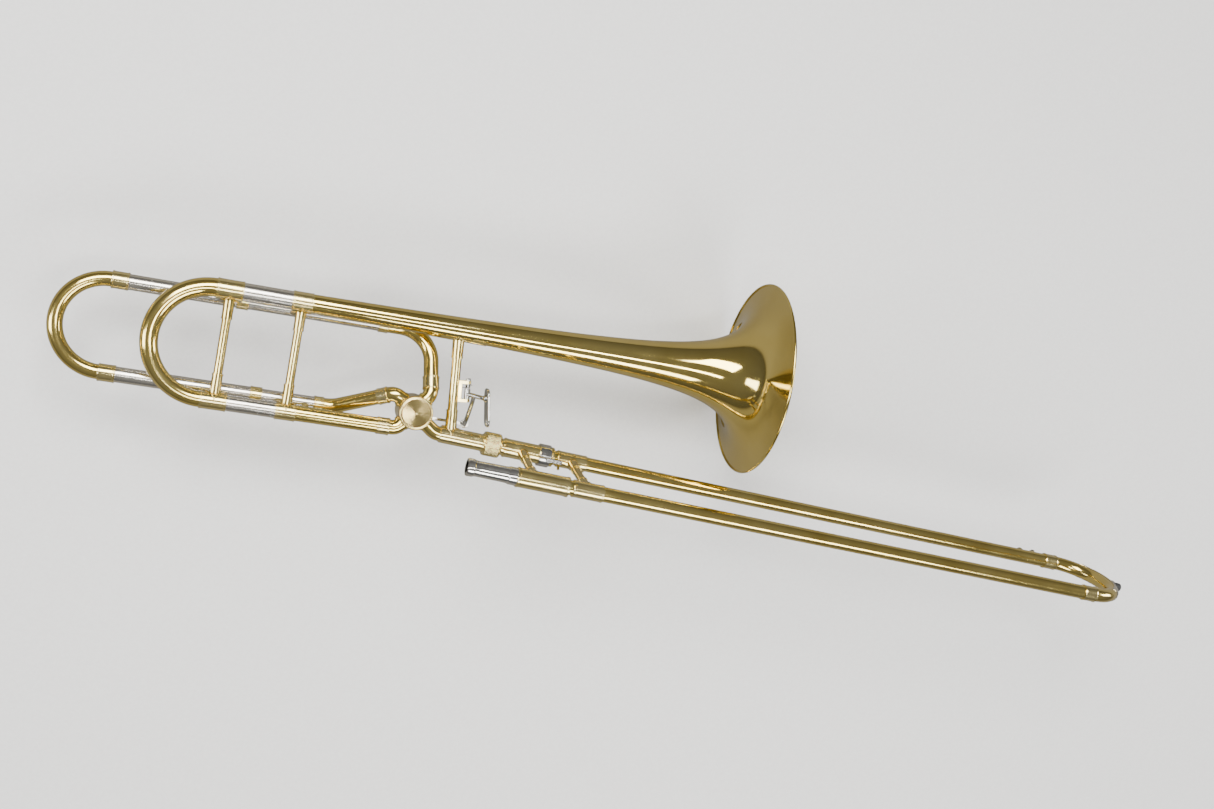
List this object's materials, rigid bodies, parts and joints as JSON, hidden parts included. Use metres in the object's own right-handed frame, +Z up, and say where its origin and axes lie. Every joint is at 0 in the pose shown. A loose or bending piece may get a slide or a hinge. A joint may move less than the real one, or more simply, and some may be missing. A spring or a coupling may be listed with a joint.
{
  "type": "tenor trombone",
  "caption": "Tenor trombone with rotary-valve F attachment, flared bell, working hand slide, tuning slides, thumb lever and water key.",
  "frame": {"origin": "centre of the bell's mouth, in the plane of the rim wire's centre", "axes": "+X out of the bell along its axis, +Z up with the bell section lying flat, +Y towards the player's left; the hand slide runs forward on the -Y side and its plane leans 12 degrees outwards from the vertical"},
  "size_m": [1.2452, 0.2968, 0.2159],
  "materials": {
    "lacquered_brass": "clear gloss lacquer",
    "turned_brass": "turned, fine rings",
    "nickel_silver": "drawn and polished",
    "silver_plate": "polished silver plate",
    "plated_steel": "satin nickel plate",
    "rubber": "matte",
    "felt": "pressed felt",
    "cork": "matte cork"
  },
  "bodies": {
    "bell_section": {"bell": "lacquered_brass", "bell_rim_wire": "lacquered_brass", "tuning_sleeve_upper": "nickel_silver", "tuning_sleeve_lower": "nickel_silver", "sleeve_ferrules": "lacquered_brass", "neck_tube": "lacquered_brass", "neck_brace": "lacquered_brass", "hand_brace_rod": "lacquered_brass", "hand_brace_receiver": "lacquered_brass", "hand_brace_bell_foot": "lacquered_brass", "receiver_tube": "lacquered_brass", "valve_casing": "lacquered_brass", "bearing_plate": "turned_brass", "stop_plate": "lacquered_brass", "stop_bumpers": "rubber", "valve_knuckles": "lacquered_brass", "valve_ferrules": "lacquered_brass", "wrap_bend": "lacquered_brass", "wrap_return": "lacquered_brass", "wrap_sleeves": "nickel_silver", "wrap_runs": "nickel_silver", "wrap_rings": "lacquered_brass", "wrap_stays": "lacquered_brass", "lever_bracket": "lacquered_brass", "hinge_screw": "plated_steel", "lever_spring": "plated_steel"},
    "main_tuning_slide": {"main_bow": "lacquered_brass", "main_bow_legs": "nickel_silver", "main_bow_ferrules": "lacquered_brass", "bow_brace": "lacquered_brass"},
    "f_tuning_slide": {"wrap_bow": "lacquered_brass", "wrap_bow_legs": "nickel_silver", "wrap_bow_ferrules": "lacquered_brass"},
    "valve_rotor": {"rotor": "turned_brass", "stop_arm": "plated_steel"},
    "valve_cap": {"valve_cap": "turned_brass"},
    "thumb_lever": {"thumb_lever": "plated_steel"},
    "lever_link": {"link_rod": "plated_steel"},
    "lock_nut": {"lock_nut": "lacquered_brass"},
    "inner_slide": {"slide_tenon": "lacquered_brass", "cork_barrels": "lacquered_brass", "inner_tubes": "nickel_silver", "slide_corks": "felt", "slide_hand_brace": "nickel_silver", "mouthpiece_receiver": "silver_plate", "leadpipe": "lacquered_brass"},
    "slide_lock": {"slide_lock": "plated_steel"},
    "outer_slide": {"outer_tubes": "lacquered_brass", "handle_ferrules": "lacquered_brass", "outer_slide_brace": "nickel_silver", "slide_crook": "lacquered_brass", "crook_ferrules": "lacquered_brass", "bow_guard": "nickel_silver", "slide_bumper": "rubber", "key_saddle": "plated_steel", "key_pin": "plated_steel", "key_spring": "plated_steel"},
    "water_key": {"water_key": "plated_steel", "key_cork": "cork"}
  },
  "joints": [
    {"name": "main_tuning", "type": "slide", "parent": "bell_section", "child": "main_tuning_slide", "axis": [-1, 0, 0], "range_m": [0, 0.045]},
    {"name": "f_tuning", "type": "slide", "parent": "bell_section", "child": "f_tuning_slide", "axis": [-1, 0, 0], "range_m": [0, 0.08]},
    {"name": "thumb_press", "type": "hinge", "parent": "bell_section", "child": "thumb_lever", "pos_m": [-0.32079, -0.06443, 0.002], "axis": [-0.0767, 0.9971, 0], "range_deg": [0, 20.21], "stiffness_Nm_per_rad": 0.3, "springref_deg": -34.38},
    {"name": "rotor_turn", "type": "hinge", "parent": "bell_section", "child": "valve_rotor", "pos_m": [-0.3735, -0.094, 0], "axis": [0, 0, -1], "range_deg": [0, 90.01]},
    {"name": "link_push", "type": "slide", "parent": "bell_section", "child": "lever_link", "axis": [-0.9971, -0.0767, 0], "range_m": [0, 0.01203]},
    {"name": "cap_unscrew", "type": "hinge", "parent": "bell_section", "child": "valve_cap", "pos_m": [-0.3735, -0.094, 0.018], "axis": [0, 0, 1], "continuous": true},
    {"name": "nut_turn", "type": "hinge", "parent": "bell_section", "child": "lock_nut", "pos_m": [-0.282, -0.1173, 0], "axis": [0.9981, -0.061, 0], "continuous": true},
    {"name": "slide_angle", "type": "hinge", "parent": "bell_section", "child": "inner_slide", "pos_m": [-0.282, -0.1173, 0], "axis": [0.9981, -0.061, 0], "range_deg": [-15, 15]},
    {"name": "slide_lock_turn", "type": "hinge", "parent": "inner_slide", "child": "slide_lock", "pos_m": [-0.2261, -0.12072, 0], "axis": [0.9981, -0.061, 0], "range_deg": [0, 23]},
    {"name": "hand_slide", "type": "slide", "parent": "inner_slide", "child": "outer_slide", "axis": [0.9981, -0.061, 0], "range_m": [0, 0.6]},
    {"name": "water_key_press", "type": "hinge", "parent": "outer_slide", "child": "water_key", "pos_m": [0.40787, -0.15687, -0.01232], "axis": [0.0597, 0.9763, 0.2079], "range_deg": [0, 17], "stiffness_Nm_per_rad": 0.1, "springref_deg": -22.92}
  ],
  "couplings": [
    {"joint": "rotor_turn", "follows": "thumb_press", "ratio": 4.4526},
    {"joint": "link_push", "follows": "thumb_press", "m_per_rad": 0.034072}
  ]
}
